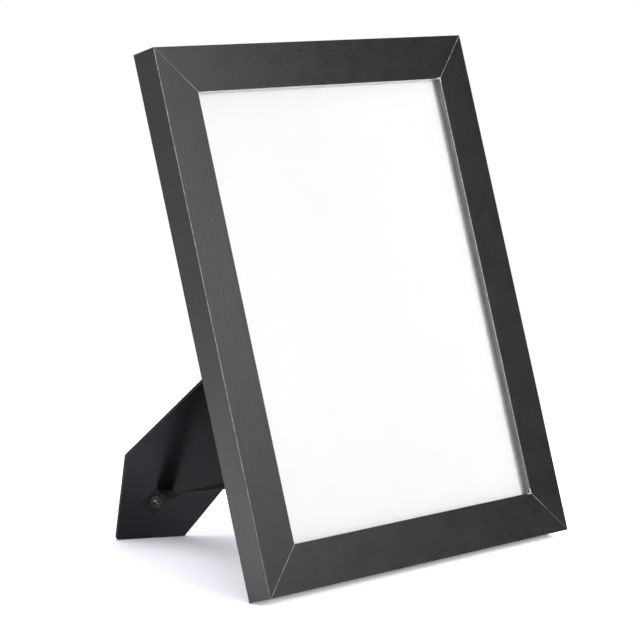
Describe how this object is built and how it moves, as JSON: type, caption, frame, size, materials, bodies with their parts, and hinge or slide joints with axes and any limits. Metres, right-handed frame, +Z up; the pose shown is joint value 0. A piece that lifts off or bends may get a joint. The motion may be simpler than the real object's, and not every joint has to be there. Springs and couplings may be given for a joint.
{
  "type": "easel back photo frame",
  "caption": "Mitred square-edged photo frame with glass and a blank sheet, leaning on a slanted folding easel strut held by a ribbon; turn buttons keep the back in.",
  "frame": {"origin": "on the table under the middle of the standing frame's bounding box", "axes": "+Z up, +X to the viewer's right when looking at the picture, +Y towards the back, where the strut stands"},
  "size_m": [0.2406, 0.172, 0.2819],
  "materials": {
    "moulding": "charcoal black satin foil on fibreboard",
    "nail_steel": "bare steel",
    "pane": "clear",
    "sheet": "matt white",
    "filler": "grey board",
    "easel": "black semi-gloss paper on hardboard",
    "hinge_steel": "black",
    "rivet_steel": "black with a bright worn rim",
    "ribbon": "black satin",
    "button_steel": "nickel plated",
    "screw_steel": "nickel plated"
  },
  "bodies": {
    "frame": {"top_rail": "moulding", "bottom_rail": "moulding", "left_stile": "moulding", "right_stile": "moulding", "corner_nails": "nail_steel", "turn_button_screws": "screw_steel", "glass_pane": "pane", "picture_sheet": "sheet", "filler_board": "filler", "easel_board": "easel", "hinge_board_leaf": "hinge_steel", "hinge_pin": "hinge_steel", "board_leaf_rivets": "hinge_steel", "ribbon_board_rivet": "rivet_steel", "stay_ribbon": "ribbon"},
    "strut": {"easel_strut": "easel", "hinge_strut_leaf": "hinge_steel", "strut_leaf_rivets": "hinge_steel", "ribbon_strut_rivet": "rivet_steel"},
    "bottom_button": {"bottom_turn_button": "button_steel"},
    "top_button": {"top_turn_button": "button_steel"},
    "left_button": {"left_turn_button": "button_steel"},
    "right_button": {"right_turn_button": "button_steel"}
  },
  "joints": [
    {"name": "strut_fold", "type": "hinge", "parent": "frame", "child": "strut", "pos_m": [0.04617, -0.01659, 0.15746], "axis": [0.7071, -0.2185, -0.6725], "range_deg": [-41, 0], "deforming": ["stay_ribbon"]},
    {"name": "bottom_button_swivel", "type": "hinge", "parent": "frame", "child": "bottom_button", "pos_m": [0, -0.06794, 0.00849], "axis": [0, 0.9511, -0.309], "range_deg": [-90, 90]},
    {"name": "top_button_swivel", "type": "hinge", "parent": "frame", "child": "top_button", "pos_m": [0, 0.01656, 0.26855], "axis": [0, 0.9511, -0.309], "range_deg": [-90, 90]},
    {"name": "left_button_swivel", "type": "hinge", "parent": "frame", "child": "left_button", "pos_m": [-0.11132, -0.02569, 0.13852], "axis": [0, 0.9511, -0.309], "range_deg": [-90, 90]},
    {"name": "right_button_swivel", "type": "hinge", "parent": "frame", "child": "right_button", "pos_m": [0.11132, -0.02569, 0.13852], "axis": [0, 0.9511, -0.309], "range_deg": [-90, 90]}
  ]
}
